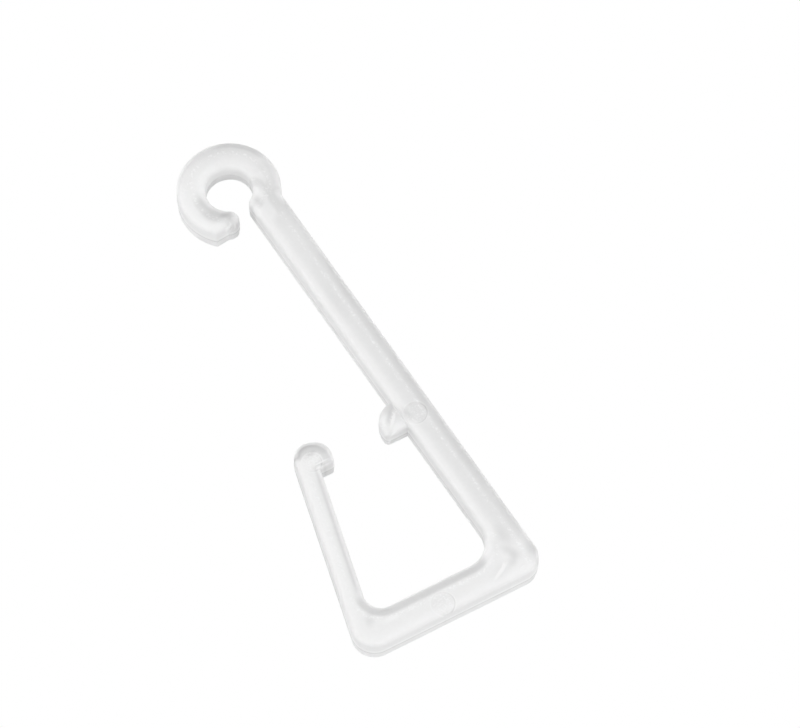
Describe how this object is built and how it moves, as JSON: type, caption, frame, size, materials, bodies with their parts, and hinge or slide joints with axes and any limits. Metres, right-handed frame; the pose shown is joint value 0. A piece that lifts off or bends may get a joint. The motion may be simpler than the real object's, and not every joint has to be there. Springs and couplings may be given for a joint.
{
  "type": "curtain hook",
  "caption": "Clear moulded hook with an open snap-in eye, a long shank with a thumb lug, a sloping seat and a short arm ending in a catch.",
  "frame": {"origin": "centre of the eye, halfway through the thickness", "axes": "+Y up the shank towards the eye, +Z along the eye's axis, +X away from the side where the arm is"},
  "size_m": [0.0222, 0.0599, 0.0036],
  "materials": {
    "clear_plastic": "gloss"
  },
  "bodies": {
    "root": {"hook": "clear_plastic"}
  },
  "joints": []
}
